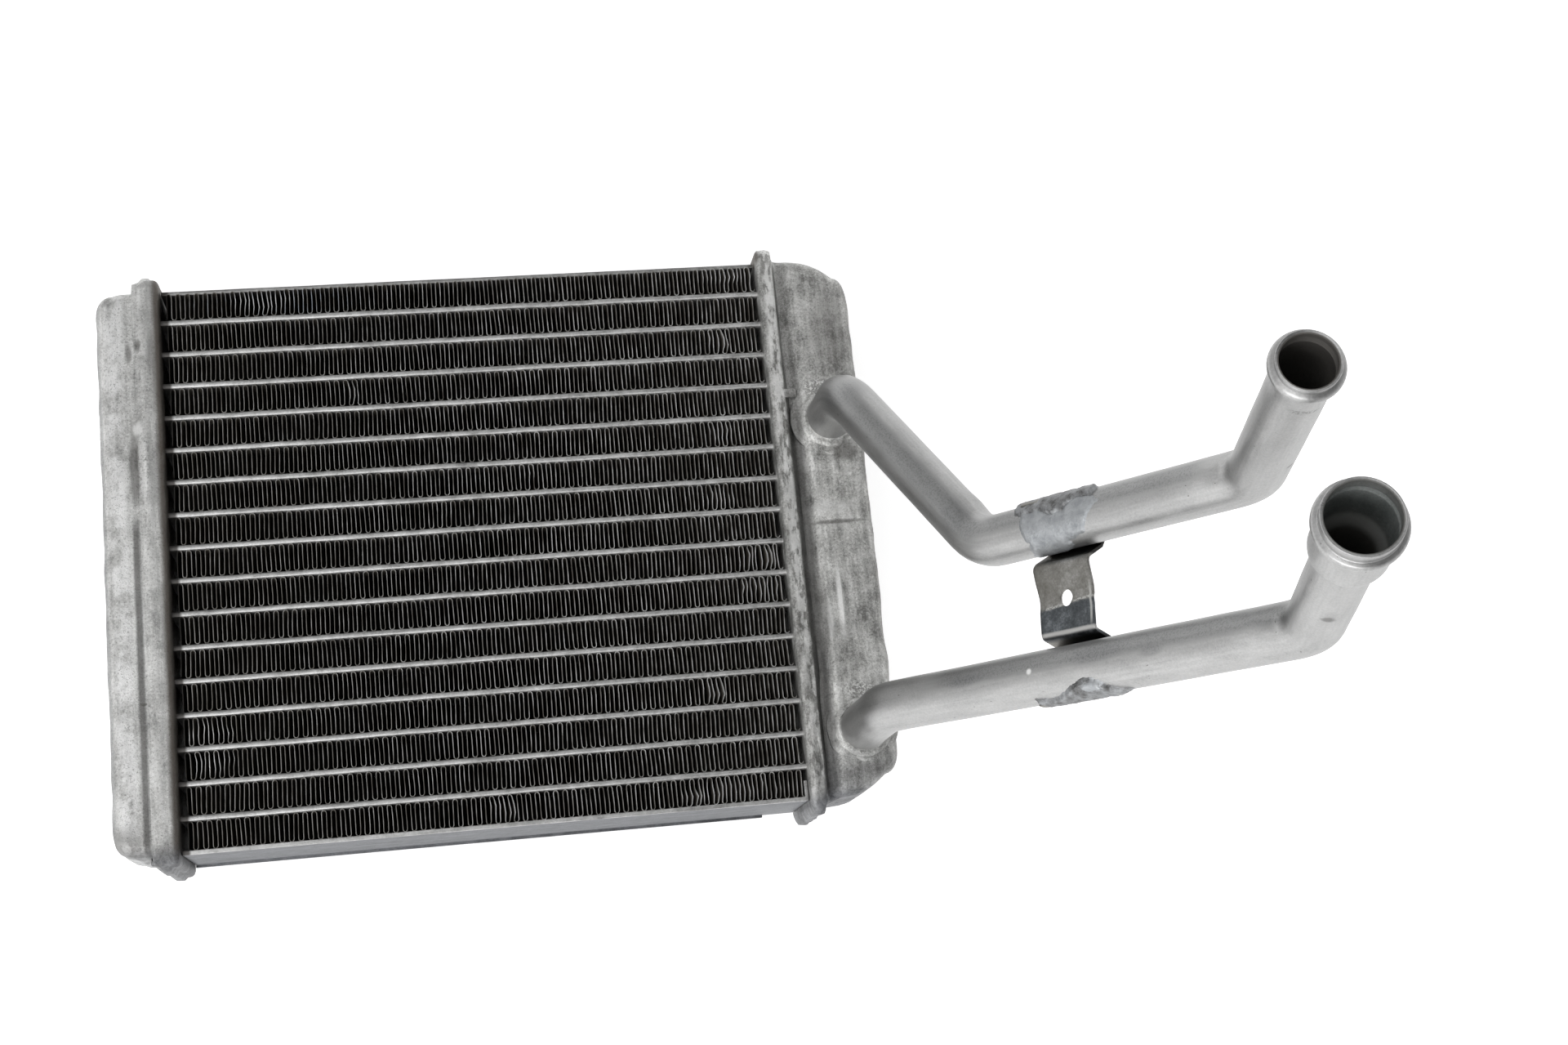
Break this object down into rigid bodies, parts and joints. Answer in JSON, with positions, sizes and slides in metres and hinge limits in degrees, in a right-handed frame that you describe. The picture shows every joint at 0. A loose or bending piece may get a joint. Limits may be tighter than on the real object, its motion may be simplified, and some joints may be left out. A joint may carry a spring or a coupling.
{
  "type": "heater core",
  "caption": "Brazed aluminium heater core: flat tubes and corrugated fins between two tanks, with two bent hose pipes tied by a folded bracket.",
  "frame": {"origin": "middle of the footprint, on the plane that the back walls of both header plates lie on", "axes": "+X along the flat tubes towards the tank with the ports, +Y along the header plates from the lower port to the upper one, +Z out of the core's front face, the way the pipes rise"},
  "size_m": [0.3412, 0.2004, 0.3027],
  "materials": {
    "tank_aluminium": "dull, mottled with braze flux",
    "tube_aluminium": "satin",
    "fin_aluminium": "dark, dusty",
    "pipe_aluminium": "satin drawn tube",
    "bracket_aluminium": "satin sheet, darkened at the brazed ends"
  },
  "bodies": {
    "root": {"left_header_plate": "tank_aluminium", "right_header_plate": "tank_aluminium", "left_tank": "tank_aluminium", "right_tank": "tank_aluminium", "tank_baffle": "tank_aluminium", "flat_tube_01": "tube_aluminium", "flat_tube_02": "tube_aluminium", "flat_tube_03": "tube_aluminium", "flat_tube_04": "tube_aluminium", "flat_tube_05": "tube_aluminium", "flat_tube_06": "tube_aluminium", "flat_tube_07": "tube_aluminium", "flat_tube_08": "tube_aluminium", "flat_tube_09": "tube_aluminium", "flat_tube_10": "tube_aluminium", "flat_tube_11": "tube_aluminium", "flat_tube_12": "tube_aluminium", "flat_tube_13": "tube_aluminium", "flat_tube_14": "tube_aluminium", "flat_tube_15": "tube_aluminium", "flat_tube_16": "tube_aluminium", "fin_row_01": "fin_aluminium", "fin_row_02": "fin_aluminium", "fin_row_03": "fin_aluminium", "fin_row_04": "fin_aluminium", "fin_row_05": "fin_aluminium", "fin_row_06": "fin_aluminium", "fin_row_07": "fin_aluminium", "fin_row_08": "fin_aluminium", "fin_row_09": "fin_aluminium", "fin_row_10": "fin_aluminium", "fin_row_11": "fin_aluminium", "fin_row_12": "fin_aluminium", "fin_row_13": "fin_aluminium", "fin_row_14": "fin_aluminium", "fin_row_15": "fin_aluminium", "fin_row_16": "fin_aluminium", "fin_row_17": "fin_aluminium", "top_side_plate": "tube_aluminium", "bottom_side_plate": "tube_aluminium", "upper_pipe": "pipe_aluminium", "lower_pipe": "pipe_aluminium", "pipe_bracket": "bracket_aluminium"}
  },
  "joints": []
}
